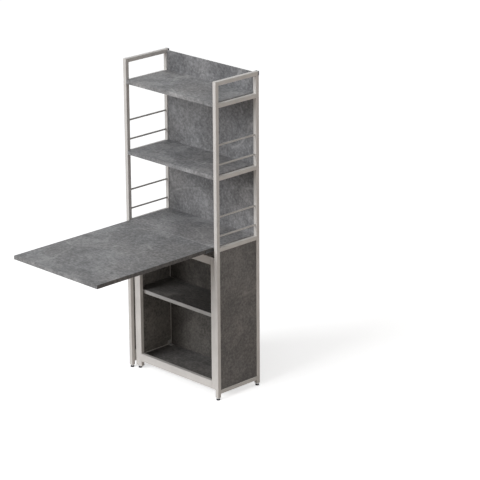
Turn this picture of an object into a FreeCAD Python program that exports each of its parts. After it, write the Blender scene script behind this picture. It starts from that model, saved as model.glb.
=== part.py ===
import FreeCAD
import Part
import Sketcher
import os

# Drop-leaf table with shelf: two welded side frames carry five boards and a back.
# The leaf turns on studs in the front posts and a gate on the right post props it up.
# Frame: +X to the right, +Y to the back, +Z up, millimetres.
# Origin: on the floor under the middle of the whole footprint, with the leaf level.

SIZES = (
    ("width", 600, "across the outer faces of the posts"),
    ("depth", 270, "front face of the front posts to back face of the back posts"),
    ("height", 1500, "floor to the top of the side frames"),
    ("top_shelf_drop", 98, "top of the side frames to the top shelf's upper face"),
    ("table_height", 735, "floor to the upper face of the table shelf and the level leaf"),
    ("middle_shelf_rise", 333, "table shelf's upper face to the middle shelf's"),
    ("inner_shelf_height", 391, "floor to the cabinet shelf's upper face"),
    ("bottom_shelf_height", 51, "floor to the bottom shelf's upper face"),
    ("leaf_reach", 692, "front of the posts to the leaf's outer edge"),
    ("board", 18, "thickness of the shelves and the leaf"),
    ("board_edge", 0.8, "rounding along a board's edges"),
    ("side_panel", 16, "thickness of the cabinet's side panels"),
    ("back_panel", 9, "thickness of the back panels"),
    ("cabinet_setback", 45, "cabinet shelves behind the front of the posts, room for the gate"),
    ("tube", 19, "side of the square tube"),
    ("rail_drop", 3, "shelf's upper face to the top of the side rails beside it"),
    ("panel_drop", 7, "top of the side frames to the upper edge of the back"),
    ("tube_wall", 1.2, "wall of every steel tube"),
    ("tube_corner", 2, "outer corner radius of every steel tube"),
    ("base_height", 12, "floor to the lower end of the posts and the gate leg"),
    ("rod_radius", 4, "guard rods"),
    ("low_rod_rise", 49, "shelf face to the lower guard rod"),
    ("high_rod_rise", 140, "shelf face to the upper guard rod"),
    ("rail_plug_flange", 6, "black plug behind each top rail"),
    ("rail_plug_depth", 14, "plug inside the top rail"),
    ("hinge_gap", 2, "level leaf to the table shelf's front edge"),
    ("hanging_gap", 8, "hanging leaf to the underside of the table shelf"),
    ("leaf_side_gap", 4, "end of the leaf to the post"),
    ("plate_thickness", 2.5, "leaf pivot plate"),
    ("plate_length", 62, "leaf pivot plate behind its round end"),
    ("stud_radius", 3, "leaf pivot stud"),
    ("pin_radius", 4, "gate pivot pin"),
    ("running_clearance", 0.05, "radial clearance of a turning fit"),
    ("end_clearance", 0.3, "gap at the end of a pin or beside a moving piece"),
    ("notch_margin", 2, "table shelf's corner notch round the pivot plate"),
    ("gate_tube", 38, "wide face of the gate's tube"),
    ("gate_leg_gap", 5, "folded gate leg to the inner face of the left post"),
    ("gate_top_gap", 42, "underside of the leaf to the top of the gate's upper rail"),
    ("gate_bottom", 36.5, "floor to the underside of the gate's lower rail"),
    ("gate_leaf_gap", 2.5, "hanging leaf to the folded gate"),
    ("gate_pivot_inset", 13.4, "inner face of the right post to the gate pivot"),
    ("stile_overhang", 7, "gate stile beyond its pivot"),
    ("gate_plug_depth", 20, "plugs in the ends of the gate's tubes"),
    ("gate_pad", 4, "pad on top of the gate leg"),
    ("pad_clearance", 0.5, "pad to the underside of the leaf"),
    ("lug_thickness", 3, "gate hinge lugs"),
    ("lug_radius", 9, "round end of a gate hinge lug"),
    ("lug_gap", 0.5, "lug to the end of the stile"),
    ("lug_flange_height", 34, "upper gate bracket's flange on the side panel, upwards"),
    ("lug_flange_width", 36, "upper gate bracket's flange on the side panel, backwards"),
    ("lug_flange_thickness", 2.5, "upper gate bracket's flange"),
    ("pin_engagement", 14, "gate pin inside the stile's plug"),
    ("tab_length", 44, "shelf tab, along X"),
    ("tab_width", 26, "shelf tab, along Y"),
    ("tab_thickness", 2.5, "shelf tab"),
    ("tab_inset", 44, "middle of a tab from the post beside it"),
    ("bracket_leg", 22, "corner bracket, both legs"),
    ("bracket_width", 20, "corner bracket, along Y"),
    ("bracket_thickness", 2, "corner bracket"),
    ("bracket_inset", 16, "corner bracket from the end of the bottom shelf"),
    ("shelf_pin_radius", 2.5, "cabinet shelf pin"),
    ("shelf_pin_grip", 9, "shelf pin inside the side panel"),
    ("shelf_pin_reach", 8, "shelf pin under the cabinet shelf"),
    ("shelf_pin_clearance", 0.1, "radial clearance round a shelf pin"),
    ("shelf_pin_inset", 36, "shelf pin from the end of the cabinet shelf"),
    ("foot_radius", 9, "levelling foot's pad"),
    ("foot_pad_height", 6, "levelling foot's pad"),
    ("foot_collar_radius", 7, "levelling foot's hexagonal collar, to its corners"),
    ("foot_stem_radius", 4, "levelling foot's threaded stem"),
    ("foot_stem_length", 24, "levelling foot's stem above its collar"),
    ("insert_height", 28, "threaded insert in a tube's lower end"),
    ("insert_side_gap", 0.1, "insert or plug to the tube's inner wall"),
)

# Signs of the corners that a four-fold group fills: right or left, back or front.
# A place in a sketch is a (sign, distance) pair along each axis.
CORNERS = ((1, 1), (-1, 1), (1, -1), (-1, -1))
SIDES = (("left", -1), ("right", 1))
CENTRE = ((0, ""), (0, ""))

# Turns that lay a section drawn on local XY along another axis
UPRIGHT = FreeCAD.Rotation()
TOWARDS_FRONT = FreeCAD.Rotation(FreeCAD.Vector(1, 0, 0), 90)
TOWARDS_RIGHT = FreeCAD.Rotation(FreeCAD.Vector(0, 1, 0), 90)
FACING_RIGHT = FreeCAD.Rotation(FreeCAD.Vector(1, 1, 1), 120)

# Places that several pieces share, written in the sheet's sizes
TOP_SHELF = "(Sizes.height - Sizes.top_shelf_drop)"
MIDDLE_SHELF = "(Sizes.table_height + Sizes.middle_shelf_rise)"
OPEN_SHELVES = (
    ("top_shelf", TOP_SHELF),
    ("middle_shelf", MIDDLE_SHELF),
    ("table_shelf", "Sizes.table_height"),
)
FRONT = "((Sizes.leaf_reach - Sizes.depth) / 2)"
BACK = f"({FRONT} + Sizes.depth)"
INNER = "(Sizes.width / 2 - Sizes.tube)"
POST_X = "(Sizes.width / 2 - Sizes.tube / 2)"
RAIL_LENGTH = "(Sizes.depth - 2 * Sizes.tube)"
PANEL_Y = f"({BACK} - Sizes.tube / 2)"
PANEL_FACE = f"({PANEL_Y} - Sizes.back_panel / 2)"
SHELF_DEPTH = f"({PANEL_FACE} - {FRONT})"
CABINET_DEPTH = f"({SHELF_DEPTH} - Sizes.cabinet_setback)"
CABINET_Y = f"({PANEL_FACE} - {CABINET_DEPTH} / 2)"
PIVOT_DROP = "((Sizes.board + Sizes.hanging_gap - Sizes.hinge_gap) / 2)"
LEAF_PIVOT_Y = f"({FRONT} + {PIVOT_DROP})"
LEAF_PIVOT_Z = f"(Sizes.table_height - {PIVOT_DROP})"
PLATE_RADIUS = f"(Sizes.board - {PIVOT_DROP})"
LEAF_LENGTH = "(Sizes.leaf_reach - Sizes.hinge_gap)"
LEAF_WIDTH = f"(2 * ({INNER} - Sizes.leaf_side_gap))"
LEAF_UNDERSIDE = "(Sizes.table_height - Sizes.board)"
GATE_X = f"({INNER} - Sizes.gate_pivot_inset)"
GATE_Y = f"({FRONT} + Sizes.board + Sizes.gate_leaf_gap + Sizes.tube / 2)"
STILE_X = f"({GATE_X} + Sizes.stile_overhang - Sizes.gate_tube / 2)"
LEG_X = f"(-{INNER} + Sizes.gate_leg_gap + Sizes.gate_tube / 2)"
GATE_TOP = f"({LEAF_UNDERSIDE} - Sizes.gate_top_gap)"
LEG_TOP = f"({LEAF_UNDERSIDE} - Sizes.pad_clearance - Sizes.gate_pad)"
TUBE_BORE = "(Sizes.tube - 2 * Sizes.tube_wall - 2 * Sizes.insert_side_gap)"
GATE_BORE = "(Sizes.gate_tube - 2 * Sizes.tube_wall - 2 * Sizes.insert_side_gap)"
STEM_HOLE = "(Sizes.foot_stem_radius + Sizes.running_clearance)"
PIN_HOLE = "(Sizes.pin_radius + Sizes.running_clearance)"
TAB_SPREAD = f"({RAIL_LENGTH} / 2 - Sizes.tab_inset)"
MIDDLE_Y = f"({FRONT} + Sizes.depth / 2)"
BRACKET_SPREAD = f"({CABINET_DEPTH} / 2 - Sizes.bracket_inset)"
FLANGE_SHIFT = f"({FRONT} + Sizes.tube + Sizes.lug_flange_width / 2 - {GATE_Y})"

doc = FreeCAD.newDocument("drop_leaf_table")
sheet = doc.addObject("Spreadsheet::Sheet", "Sizes")
for row, (alias, size, meaning) in enumerate(SIZES, start=1):
    sheet.set(f"A{row}", meaning)
    sheet.set(f"B{row}", str(size))
    sheet.setAlias(f"B{row}", alias)
doc.recompute()

pieces = []


def value(expression):
    """The present number behind an expression in the sheet's sizes."""
    return float(sheet.evalExpression(expression.replace("Sizes.", "")))


def new_piece(label, place, turn=UPRIGHT):
    """A body named label, placed by three expressions."""
    body = doc.addObject("PartDesign::Body", label)
    body.Label = label
    body.AllowCompound = True
    body.Placement = FreeCAD.Placement(FreeCAD.Vector(), turn)
    for axis, expression in zip("xyz", place):
        body.setExpression(f"Placement.Base.{axis}", expression)
    pieces.append(body)
    return body


def new_sketch(body, plane="XY_Plane"):
    """An empty sketch on one of the body's own origin planes."""
    sketch = body.newObject("Sketcher::SketchObject", body.Label + "_sketch")
    support = [item for item in body.Origin.OriginFeatures if item.Role == plane][0]
    sketch.AttachmentSupport = (support, [""])
    sketch.MapMode = "FlatFace"
    return sketch


def set_size(sketch, kind, ends, expression):
    """A driving dimension of the sketch, bound to the sheet."""
    index = sketch.addConstraint(Sketcher.Constraint(kind, *ends, abs(value(expression))))
    name = f"size_{index}"
    sketch.renameConstraint(index, name)
    sketch.setExpression(f"Constraints.{name}", expression)


def set_place(sketch, point, place):
    """Pins a point of the sketch at (sign, expression) pairs from the sketch's origin."""
    origin = (-1, 1)
    for kind, (sign, expression) in zip(("DistanceX", "DistanceY"), place):
        if sign == 0:
            on_axis = -2 if kind == "DistanceX" else -1
            sketch.addConstraint(Sketcher.Constraint("PointOnObject", *point, on_axis))
        elif sign > 0:
            set_size(sketch, kind, origin + point, expression)
        else:
            set_size(sketch, kind, point + origin, expression)


def signed(place):
    """The present coordinates of a place given as (sign, expression) pairs."""
    return [sign * value(expression) if sign else 0 for sign, expression in place]


def rectangle(sketch, across, along, place=CENTRE):
    """A rectangle centred at place, sized by two expressions."""
    x, y = signed(place)
    half_x, half_y = value(across) / 2, value(along) / 2
    turns = ((-1, -1), (1, -1), (1, 1), (-1, 1))
    corners = [FreeCAD.Vector(x + i * half_x, y + j * half_y) for i, j in turns]
    first = sketch.GeometryCount
    for start, end in zip(corners, corners[1:] + corners[:1]):
        sketch.addGeometry(Part.LineSegment(start, end))
    for side in range(4):
        follower = first + (side + 1) % 4
        sketch.addConstraint(Sketcher.Constraint("Coincident", first + side, 2, follower, 1))
        kind = "Vertical" if side % 2 else "Horizontal"
        sketch.addConstraint(Sketcher.Constraint(kind, first + side))
    middle = sketch.addGeometry(Part.Point(FreeCAD.Vector(x, y)), True)
    sketch.addConstraint(Sketcher.Constraint("Symmetric", first, 1, first + 2, 1, middle, 1))
    set_size(sketch, "DistanceX", (first, 1, first, 2), across)
    set_size(sketch, "DistanceY", (first + 1, 1, first + 1, 2), along)
    set_place(sketch, (middle, 1), place)


def circle(sketch, radius, place=CENTRE):
    """A circle centred at place."""
    x, y = signed(place)
    index = sketch.addGeometry(Part.Circle(FreeCAD.Vector(x, y), FreeCAD.Vector(0, 0, 1), value(radius)))
    set_size(sketch, "Radius", (index,), radius)
    set_place(sketch, (index, 3), place)


def hexagon(sketch, radius):
    """A regular hexagon about the sketch's origin, with a corner on the X axis."""
    origin = FreeCAD.Vector()
    ring = sketch.addGeometry(Part.Circle(origin, FreeCAD.Vector(0, 0, 1), value(radius)), True)
    sketch.addConstraint(Sketcher.Constraint("Coincident", ring, 3, -1, 1))
    set_size(sketch, "Radius", (ring,), radius)
    spoke = FreeCAD.Vector(value(radius), 0, 0)
    turns = [FreeCAD.Rotation(FreeCAD.Vector(0, 0, 1), 60 * corner) for corner in range(6)]
    corners = [turn.multVec(spoke) for turn in turns]
    ends = zip(corners, corners[1:] + corners[:1])
    sides = [sketch.addGeometry(Part.LineSegment(*pair)) for pair in ends]
    for side, follower in zip(sides, sides[1:] + sides[:1]):
        sketch.addConstraint(Sketcher.Constraint("Coincident", side, 2, follower, 1))
        sketch.addConstraint(Sketcher.Constraint("PointOnObject", side, 1, ring))
    for side in sides[1:]:
        sketch.addConstraint(Sketcher.Constraint("Equal", sides[0], side))
    sketch.addConstraint(Sketcher.Constraint("PointOnObject", sides[0], 1, -1))


def pad(body, sketch, length, down=False):
    """Adds the sketch's outline, pulled along the sketch's normal."""
    feature = body.newObject("PartDesign::Pad", body.Label + "_pad")
    feature.Profile = sketch
    feature.setExpression("Length", length)
    feature.Reversed = down
    body.Tip = feature
    doc.recompute()
    return feature


def cut(body, sketch, length, down=False):
    """Removes the sketch's outline, upwards from the sketch unless down, and proves that it cut."""
    before = body.Shape.Volume
    feature = body.newObject("PartDesign::Pocket", body.Label + "_cut")
    feature.Profile = sketch
    feature.setExpression("Length", length)
    feature.Reversed = not down
    body.Tip = feature
    doc.recompute()
    if not body.Shape.Volume < before:
        raise RuntimeError(f"{body.Label}: a cut removed nothing")
    return feature


def round_edges(body, radius, wanted):
    """Rounds the straight edges whose direction and middle satisfy wanted."""
    base = body.Tip
    names = []
    for number, edge in enumerate(base.Shape.Edges, start=1):
        if isinstance(edge.Curve, Part.Line) and wanted(edge.Curve.Direction, edge.CenterOfMass):
            names.append(f"Edge{number}")
    feature = body.newObject("PartDesign::Fillet", body.Label + "_round")
    feature.Base = (base, names)
    feature.setExpression("Radius", radius)
    body.Tip = feature
    doc.recompute()


def tube(label, across, along, length, place, turn=UPRIGHT, closed_end=False):
    """A rectangular tube pulled along local Z from place, open at both ends or closed at the far one."""
    body = new_piece(label, place, turn)
    outline = new_sketch(body)
    rectangle(outline, across, along)
    pad(body, outline, length)
    round_edges(body, "Sizes.tube_corner", lambda way, middle: abs(way.z) > 0.99)
    bore = new_sketch(body)
    rectangle(bore, f"{across} - 2 * Sizes.tube_wall", f"{along} - 2 * Sizes.tube_wall")
    cut(body, bore, f"{length} - Sizes.tube_wall" if closed_end else length)
    return body


def board(label, across, along, thickness, place):
    """A flat board centred on place in X and Y, with its underside there."""
    body = new_piece(label, place)
    outline = new_sketch(body)
    rectangle(outline, across, along)
    pad(body, outline, thickness)
    return body


def drill(body, radius, places, depth, plane="XY_Plane", down=False):
    """Round holes of one depth at several places of one plane."""
    sketch = new_sketch(body, plane)
    for place in places:
        circle(sketch, radius, place)
    return cut(body, sketch, depth, down)


def four(x, y):
    """Four places at plus and minus x and y."""
    return [((right, x), (back, y)) for right, back in CORNERS]


def side_place(sign, x):
    """An x expression on the left or the right of the middle."""
    return x if sign > 0 else f"-({x})"


def make_posts():
    """Front posts run to the top; the top rails pass over the back posts."""
    for side, sign in SIDES:
        x = side_place(sign, POST_X)
        front_y = f"{FRONT} + Sizes.tube / 2"
        back_y = f"{BACK} - Sizes.tube / 2"
        full = "(Sizes.height - Sizes.base_height)"
        tube(f"{side}_front_post", "Sizes.tube", "Sizes.tube", full,
             (x, front_y, "Sizes.base_height"), closed_end=True)
        tube(f"{side}_back_post", "Sizes.tube", "Sizes.tube", f"({full} - Sizes.tube)",
             (x, back_y, "Sizes.base_height"))


def make_rails():
    """Side rails between the posts, and top rails that end in a plug behind the back posts."""
    levels = (("upper_shelf", TOP_SHELF), ("middle_shelf", MIDDLE_SHELF),
              ("table", "Sizes.table_height"), ("bottom", "Sizes.bottom_shelf_height"))
    for side, sign in SIDES:
        x = side_place(sign, POST_X)
        for level, top in levels:
            tube(f"{side}_{level}_rail", "Sizes.tube", "Sizes.tube", RAIL_LENGTH,
                 (x, f"{BACK} - Sizes.tube", f"{top} - Sizes.rail_drop - Sizes.tube / 2"), TOWARDS_FRONT)
        tube(f"{side}_top_rail", "Sizes.tube", "Sizes.tube",
             "(Sizes.depth - Sizes.tube - Sizes.rail_plug_flange)",
             (x, f"{BACK} - Sizes.rail_plug_flange", "Sizes.height - Sizes.tube / 2"), TOWARDS_FRONT)


def make_rail_plugs():
    """Black plugs in the rear ends of the top rails."""
    body = new_piece("top_rail_end_plugs", ("0", BACK, "Sizes.height - Sizes.tube / 2"), TOWARDS_FRONT)
    spots = [((sign, POST_X), (0, "")) for _, sign in SIDES]
    flange = new_sketch(body)
    for spot in spots:
        rectangle(flange, "Sizes.tube", "Sizes.tube", spot)
    pad(body, flange, "Sizes.rail_plug_flange")
    shank = new_sketch(body)
    for spot in spots:
        rectangle(shank, TUBE_BORE, TUBE_BORE, spot)
    pad(body, shank, "Sizes.rail_plug_flange + Sizes.rail_plug_depth")


def make_guard_rods():
    """Four thin rods on each side, two above the table and two above the middle shelf."""
    for side, sign in SIDES:
        place = (side_place(sign, POST_X), f"{BACK} - Sizes.tube", "Sizes.table_height")
        body = new_piece(f"{side}_guard_rods", place, TOWARDS_FRONT)
        outline = new_sketch(body)
        for rod in ("Sizes.low_rod_rise", "Sizes.high_rod_rise"):
            circle(outline, "Sizes.rod_radius", ((0, ""), (1, rod)))
            circle(outline, "Sizes.rod_radius", ((0, ""), (1, f"Sizes.middle_shelf_rise + {rod}")))
        pad(body, outline, RAIL_LENGTH)


def front_edges(body, depth):
    """Rounds a shelf's two long front edges."""
    near = -value(depth) / 2
    slack = value("Sizes.board_edge")
    round_edges(body, "Sizes.board_edge",
                lambda way, middle: abs(way.x) > 0.99 and middle.y < near + slack)


def make_open_shelves():
    """Top and middle shelves, and the table shelf with notches for the leaf's pivots."""
    middle_y = f"{FRONT} + {SHELF_DEPTH} / 2"
    for label, top in OPEN_SHELVES:
        place = ("0", middle_y, f"{top} - Sizes.board")
        body = board(label, f"2 * {INNER}", SHELF_DEPTH, "Sizes.board", place)
        front_edges(body, SHELF_DEPTH)
        if label == "table_shelf":
            notch_front_corners(body)


def notch_front_corners(body):
    """Cuts a shelf's front corners away round the leaf's pivot plates."""
    notch = new_sketch(body)
    reach = f"({PIVOT_DROP} + {PLATE_RADIUS} + Sizes.notch_margin)"
    x = f"{INNER} - Sizes.leaf_side_gap / 2"
    y = f"{SHELF_DEPTH} / 2 - {reach} / 2"
    for right in (1, -1):
        rectangle(notch, "Sizes.leaf_side_gap", reach, ((right, x), (-1, y)))
    cut(body, notch, "Sizes.board")


def make_shelf_tabs():
    """Steel tabs welded inside the side rails, which carry the open shelves."""
    tab_spots = four(f"({INNER} - Sizes.tab_length / 2)", TAB_SPREAD)
    for label, top in OPEN_SHELVES:
        under = f"{top} - Sizes.board - Sizes.tab_thickness"
        body = new_piece(f"{label}_tabs", ("0", MIDDLE_Y, under))
        outline = new_sketch(body)
        for spot in tab_spots:
            rectangle(outline, "Sizes.tab_length", "Sizes.tab_width", spot)
        pad(body, outline, "Sizes.tab_thickness")


def make_cabinet():
    """Side panels, back panels and the two shelves behind the gate."""
    panel_low = "(Sizes.bottom_shelf_height - Sizes.rail_drop)"
    panel_top = "(Sizes.table_height - Sizes.rail_drop - Sizes.tube)"
    pin_spread = f"({CABINET_DEPTH} / 2 - Sizes.shelf_pin_inset)"
    pin_shift = f"({CABINET_Y} - {MIDDLE_Y})"
    pin_rise = f"(Sizes.inner_shelf_height - Sizes.board - Sizes.shelf_pin_radius - {panel_low})"
    for side, sign in SIDES:
        middle_x = side_place(sign, f"{INNER} + Sizes.side_panel / 2")
        body = board(f"{side}_side_panel", "Sizes.side_panel", RAIL_LENGTH, f"({panel_top} - {panel_low})",
                     (middle_x, MIDDLE_Y, panel_low))
        pins = [((back, pin_place(back, pin_spread, pin_shift)), (1, pin_rise)) for back in (1, -1)]
        side_holes(body, sign, "Sizes.shelf_pin_radius + Sizes.shelf_pin_clearance", pins,
                   "Sizes.shelf_pin_grip + Sizes.end_clearance")
    upper_height = f"(Sizes.height - Sizes.panel_drop - {LEAF_UNDERSIDE})"
    board("upper_back_panel", f"2 * {INNER}", "Sizes.back_panel", upper_height,
          ("0", PANEL_Y, LEAF_UNDERSIDE))
    low = "(Sizes.bottom_shelf_height - Sizes.board)"
    board("lower_back_panel", f"2 * {INNER}", "Sizes.back_panel", f"({LEAF_UNDERSIDE} - {low})",
          ("0", PANEL_Y, low))
    inner = board("inner_shelf", f"2 * {INNER}", CABINET_DEPTH, "Sizes.board",
                  ("0", CABINET_Y, "Sizes.inner_shelf_height - Sizes.board"))
    front_edges(inner, CABINET_DEPTH)
    bottom = board("bottom_shelf", f"2 * {INNER}", CABINET_DEPTH, "Sizes.board", ("0", CABINET_Y, low))
    front_edges(bottom, CABINET_DEPTH)
    make_shelf_pins(pin_spread)


def pin_place(back, spread, shift):
    """Distance of a cabinet fixing from the side panel's middle, towards the back or the front."""
    return f"({spread} + {shift})" if back > 0 else f"({spread} - {shift})"


def side_holes(body, sign, radius, spots, depth):
    """Holes in a side panel's inner face: spots are (y, z) in the panel's own frame."""
    sketch = new_sketch(body, "YZ_Plane")
    sketch.setExpression("AttachmentOffset.Base.z", side_place(-sign, "Sizes.side_panel / 2"))
    for spot in spots:
        circle(sketch, radius, spot)
    cut(body, sketch, depth, down=sign < 0)


def make_shelf_pins(pin_spread):
    """Four steel pins in the side panels carry the cabinet shelf."""
    body = new_piece("inner_shelf_pins",
                     ("0", CABINET_Y, "Sizes.inner_shelf_height - Sizes.board - Sizes.shelf_pin_radius"))
    for sign in (1, -1):
        sketch = new_sketch(body, "YZ_Plane")
        inner_end = side_place(sign, f"({INNER} - Sizes.shelf_pin_reach)")
        sketch.setExpression("AttachmentOffset.Base.z", inner_end)
        for back in (1, -1):
            circle(sketch, "Sizes.shelf_pin_radius", ((back, pin_spread), (0, "")))
        pad(body, sketch, "Sizes.shelf_pin_reach + Sizes.shelf_pin_grip", down=sign < 0)


def make_corner_brackets():
    """Angle brackets in the cabinet's lower corners."""
    body = new_piece("bottom_shelf_brackets", ("0", CABINET_Y, "Sizes.bottom_shelf_height"))
    foot = new_sketch(body)
    for spot in four(f"{INNER} - Sizes.bracket_leg / 2", BRACKET_SPREAD):
        rectangle(foot, "Sizes.bracket_leg", "Sizes.bracket_width", spot)
    pad(body, foot, "Sizes.bracket_thickness")
    upright = new_sketch(body)
    for spot in four(f"{INNER} - Sizes.bracket_thickness / 2", BRACKET_SPREAD):
        rectangle(upright, "Sizes.bracket_thickness", "Sizes.bracket_width", spot)
    pad(body, upright, "Sizes.bracket_leg")


def make_leaf():
    """The leaf, its two pivot plates, and the studs in the posts."""
    leaf = board("table_leaf", LEAF_WIDTH, LEAF_LENGTH, "Sizes.board",
                 ("0", f"{FRONT} - Sizes.hinge_gap - {LEAF_LENGTH} / 2", LEAF_UNDERSIDE))
    round_edges(leaf, "Sizes.board_edge", lambda way, middle: abs(way.z) < 0.01)
    for side, sign in SIDES:
        make_pivot_plate(side, sign)
    make_pivot_studs()


def make_pivot_plate(side, sign):
    """A flat bar on the end of the leaf with a round eye on the pivot."""
    inside = f"({LEAF_WIDTH} / 2)"
    x = inside if sign > 0 else f"-({inside} + Sizes.plate_thickness)"
    body = new_piece(f"{side}_pivot_plate", (x, LEAF_PIVOT_Y, LEAF_PIVOT_Z), FACING_RIGHT)
    bar = new_sketch(body)
    rectangle(bar, "Sizes.plate_length", f"2 * {PLATE_RADIUS}", ((-1, "Sizes.plate_length / 2"), (0, "")))
    pad(body, bar, "Sizes.plate_thickness")
    eye = new_sketch(body)
    circle(eye, PLATE_RADIUS)
    pad(body, eye, "Sizes.plate_thickness")
    drill(body, "Sizes.stud_radius + Sizes.running_clearance", [CENTRE], "Sizes.plate_thickness")


def make_pivot_studs():
    """Studs welded to the inner faces of the front posts, which the leaf turns on."""
    body = new_piece("leaf_pivot_studs", ("0", LEAF_PIVOT_Y, LEAF_PIVOT_Z))
    for sign in (1, -1):
        sketch = new_sketch(body, "YZ_Plane")
        sketch.setExpression("AttachmentOffset.Base.z", side_place(sign, INNER))
        circle(sketch, "Sizes.stud_radius")
        pad(body, sketch, "Sizes.leaf_side_gap - Sizes.end_clearance", down=sign > 0)


def make_gate():
    """The gate's four tubes, folded along the front of the cabinet, and its plugs and pad."""
    rail_x = f"({LEG_X} + Sizes.gate_tube / 2)"
    rail_length = f"({STILE_X} - Sizes.gate_tube / 2 - {rail_x})"
    tube("gate_stile", "Sizes.gate_tube", "Sizes.tube", f"({GATE_TOP} - Sizes.gate_bottom)",
         (STILE_X, GATE_Y, "Sizes.gate_bottom"))
    tube("gate_leg", "Sizes.gate_tube", "Sizes.tube", f"({LEG_TOP} - Sizes.base_height)",
         (LEG_X, GATE_Y, "Sizes.base_height"))
    for label, z in (("gate_upper_rail", f"{GATE_TOP} - Sizes.gate_tube / 2"),
                     ("gate_lower_rail", "Sizes.gate_bottom + Sizes.gate_tube / 2")):
        tube(label, "Sizes.gate_tube", "Sizes.tube", rail_length, (rail_x, GATE_Y, z), TOWARDS_RIGHT)
    plugs = new_piece("stile_end_plugs", (STILE_X, GATE_Y, "Sizes.gate_bottom"))
    for bottom in ("0", f"{GATE_TOP} - Sizes.gate_bottom - Sizes.gate_plug_depth"):
        sketch = new_sketch(plugs)
        sketch.setExpression("AttachmentOffset.Base.z", bottom)
        rectangle(sketch, GATE_BORE, TUBE_BORE)
        pad(plugs, sketch, "Sizes.gate_plug_depth")
    pin_offset = "(Sizes.gate_tube / 2 - Sizes.stile_overhang)"
    drill(plugs, PIN_HOLE, [((1, pin_offset), (0, ""))], f"{GATE_TOP} - Sizes.gate_bottom")
    top = new_piece("gate_leg_cap", (LEG_X, GATE_Y, LEG_TOP))
    cap = new_sketch(top)
    rectangle(cap, "Sizes.gate_tube", "Sizes.tube")
    pad(top, cap, "Sizes.gate_pad")
    round_edges(top, "Sizes.tube_corner", lambda way, middle: abs(way.z) > 0.99)
    shank = new_sketch(top)
    rectangle(shank, GATE_BORE, TUBE_BORE)
    pad(top, shank, "Sizes.gate_plug_depth", down=True)


def make_gate_hinge():
    """The lug on the bottom rail, the bracket on the side panel, and the two pins on them."""
    low_z = "Sizes.gate_bottom - Sizes.lug_gap - Sizes.lug_thickness"
    high_z = f"{GATE_TOP} + Sizes.lug_gap"
    reach = "Sizes.gate_pivot_inset"
    for label, z in (("lower_gate_lug", low_z), ("upper_gate_bracket", high_z)):
        body = new_piece(label, (GATE_X, GATE_Y, z))
        nose = new_sketch(body)
        circle(nose, "Sizes.lug_radius")
        pad(body, nose, "Sizes.lug_thickness")
        arm = new_sketch(body)
        rectangle(arm, reach, "2 * Sizes.lug_radius", ((1, f"{reach} / 2"), (0, "")))
        pad(body, arm, "Sizes.lug_thickness")
        if label == "upper_gate_bracket":
            add_bracket_flange(body, reach)
        drill(body, PIN_HOLE, [CENTRE], "Sizes.lug_thickness")
    pins = new_piece("gate_pivot_pins", (GATE_X, GATE_Y, low_z))
    outer = "Sizes.lug_thickness + Sizes.lug_gap + Sizes.pin_engagement"
    lower = new_sketch(pins)
    circle(lower, "Sizes.pin_radius")
    pad(pins, lower, outer)
    upper = new_sketch(pins)
    upper.setExpression("AttachmentOffset.Base.z", f"{high_z} + Sizes.lug_thickness - ({low_z})")
    circle(upper, "Sizes.pin_radius")
    pad(pins, upper, outer, down=True)


def add_bracket_flange(body, reach):
    """The upper bracket's upright flange, screwed to the right side panel."""
    flange = new_sketch(body)
    rectangle(flange, "Sizes.lug_flange_thickness", "Sizes.lug_flange_width",
              ((1, f"{reach} - Sizes.lug_flange_thickness / 2"), (1, FLANGE_SHIFT)))
    pad(body, flange, "Sizes.lug_flange_height")


def make_foot(label, x, y):
    """A levelling foot screwed right in: pad, collar and stem."""
    body = new_piece(label, (x, y, "0"))
    sole = new_sketch(body)
    circle(sole, "Sizes.foot_radius")
    pad(body, sole, "Sizes.foot_pad_height")
    collar = new_sketch(body)
    collar.setExpression("AttachmentOffset.Base.z", "Sizes.foot_pad_height / 2")
    hexagon(collar, "Sizes.foot_collar_radius")
    pad(body, collar, "Sizes.base_height - Sizes.end_clearance - Sizes.foot_pad_height / 2")
    stem = new_sketch(body)
    stem.setExpression("AttachmentOffset.Base.z", "Sizes.foot_pad_height")
    circle(stem, "Sizes.foot_stem_radius")
    pad(body, stem, "Sizes.base_height - Sizes.foot_pad_height + Sizes.foot_stem_length")


def make_feet():
    """Five levelling feet, and the threaded inserts in the tubes above them."""
    rows = (("front", f"({FRONT} + Sizes.tube / 2)"), ("back", f"({BACK} - Sizes.tube / 2)"))
    for side, sign in SIDES:
        for row_name, y in rows:
            make_foot(f"{side}_{row_name}_foot", side_place(sign, POST_X), y)
    make_foot("gate_foot", LEG_X, GATE_Y)
    inserts = new_piece("post_foot_inserts", ("0", MIDDLE_Y, "Sizes.base_height"))
    outline = new_sketch(inserts)
    spots = four(POST_X, "(Sizes.depth / 2 - Sizes.tube / 2)")
    for spot in spots:
        rectangle(outline, TUBE_BORE, TUBE_BORE, spot)
    pad(inserts, outline, "Sizes.insert_height")
    drill(inserts, STEM_HOLE, spots, "Sizes.insert_height")
    insert = new_piece("gate_foot_insert", (LEG_X, GATE_Y, "Sizes.base_height"))
    outline = new_sketch(insert)
    rectangle(outline, GATE_BORE, TUBE_BORE)
    pad(insert, outline, "Sizes.insert_height")
    drill(insert, STEM_HOLE, [CENTRE], "Sizes.insert_height")


def check_and_write():
    """Stops on any failed object or bad shape, then writes one file for each piece."""
    doc.recompute()
    for item in doc.Objects:
        if "Invalid" in item.State or "Error" in item.State:
            raise RuntimeError(f"{item.Label} failed: {item.State}")
    for piece in pieces:
        if piece.Shape.isNull() or not piece.Shape.isValid():
            raise RuntimeError(f"{piece.Label} has no valid shape")
    os.makedirs("parts", exist_ok=True)
    for piece in pieces:
        piece.Shape.exportStep(f"parts/{piece.Label}.step")
        print(f"{piece.Label}: {len(piece.Shape.Solids)} solids")


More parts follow.
